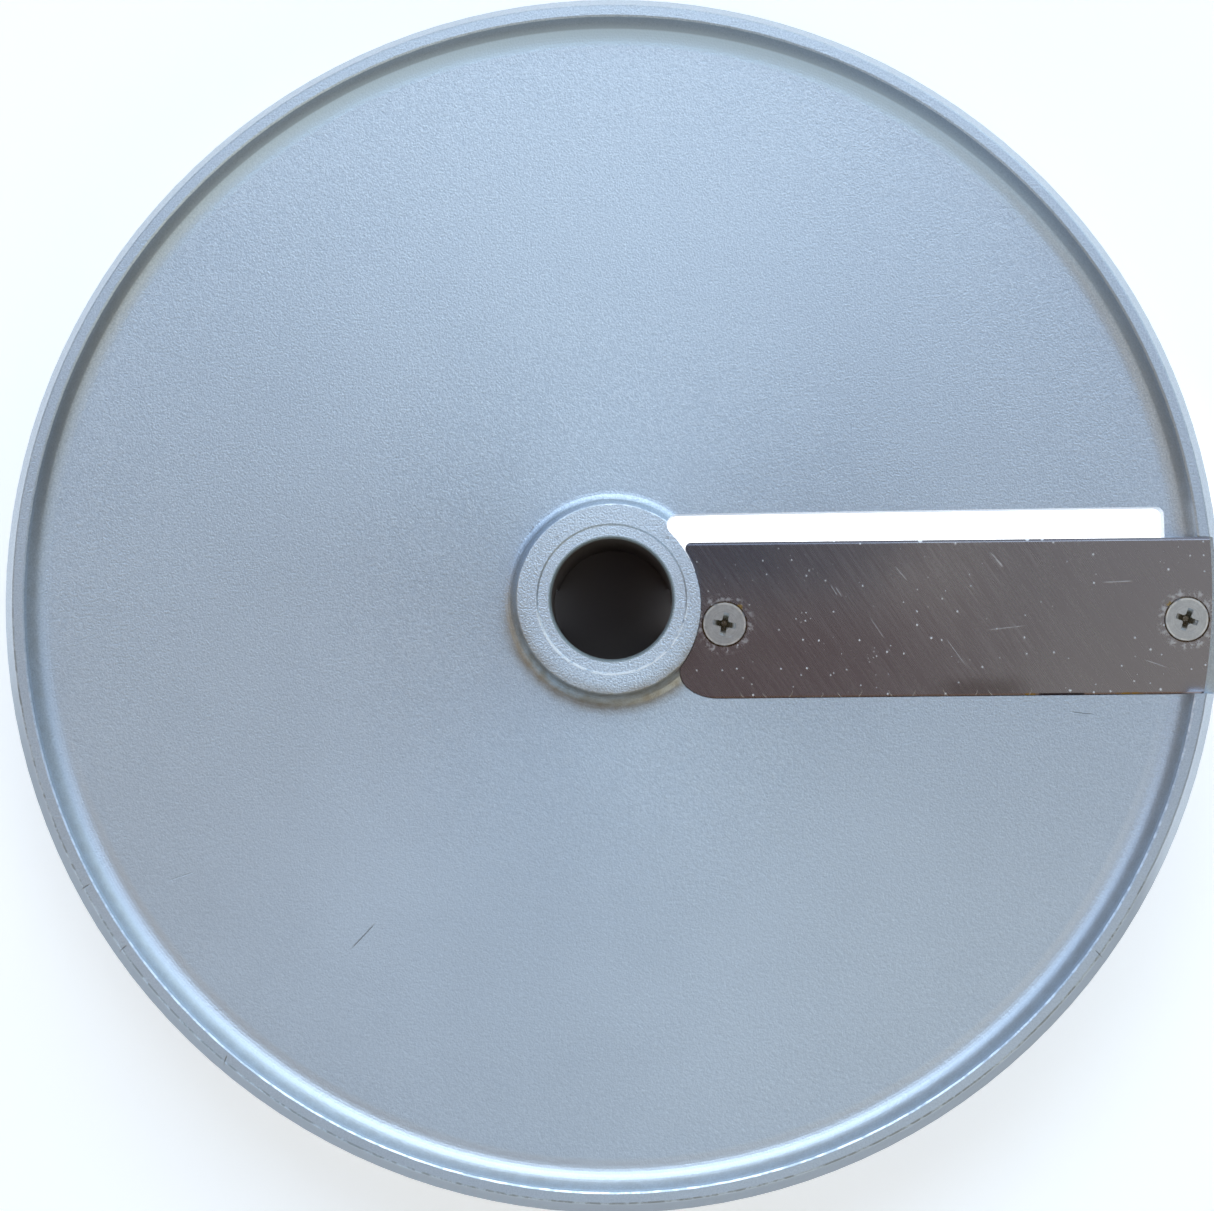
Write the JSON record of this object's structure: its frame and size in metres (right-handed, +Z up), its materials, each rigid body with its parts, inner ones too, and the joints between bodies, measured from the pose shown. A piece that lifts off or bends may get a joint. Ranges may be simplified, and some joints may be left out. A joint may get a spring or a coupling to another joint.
{
  "type": "slicing disc",
  "caption": "Round slicing disc with a raised rim, a bored hub and a straight steel blade let into the plate behind a narrow slot, held by countersunk screws.",
  "frame": {"origin": "on the bore's axis, at the lower end of the hub's boss, which is what the disc stands on", "axes": "+Z up the bore's axis from the boss to the side that food meets, +X along the blade from the hub to the rim, +Y the way the cutting edge faces"},
  "size_m": [0.205, 0.205, 0.031],
  "materials": {
    "cast_aluminium": "fine grained satin",
    "blade_steel": "ground, lightly scratched",
    "screw_steel": "bright, scuffed"
  },
  "bodies": {
    "root": {"disc_casting": "cast_aluminium", "blade": "blade_steel", "inner_screw": "screw_steel", "outer_screw": "screw_steel"}
  },
  "joints": []
}
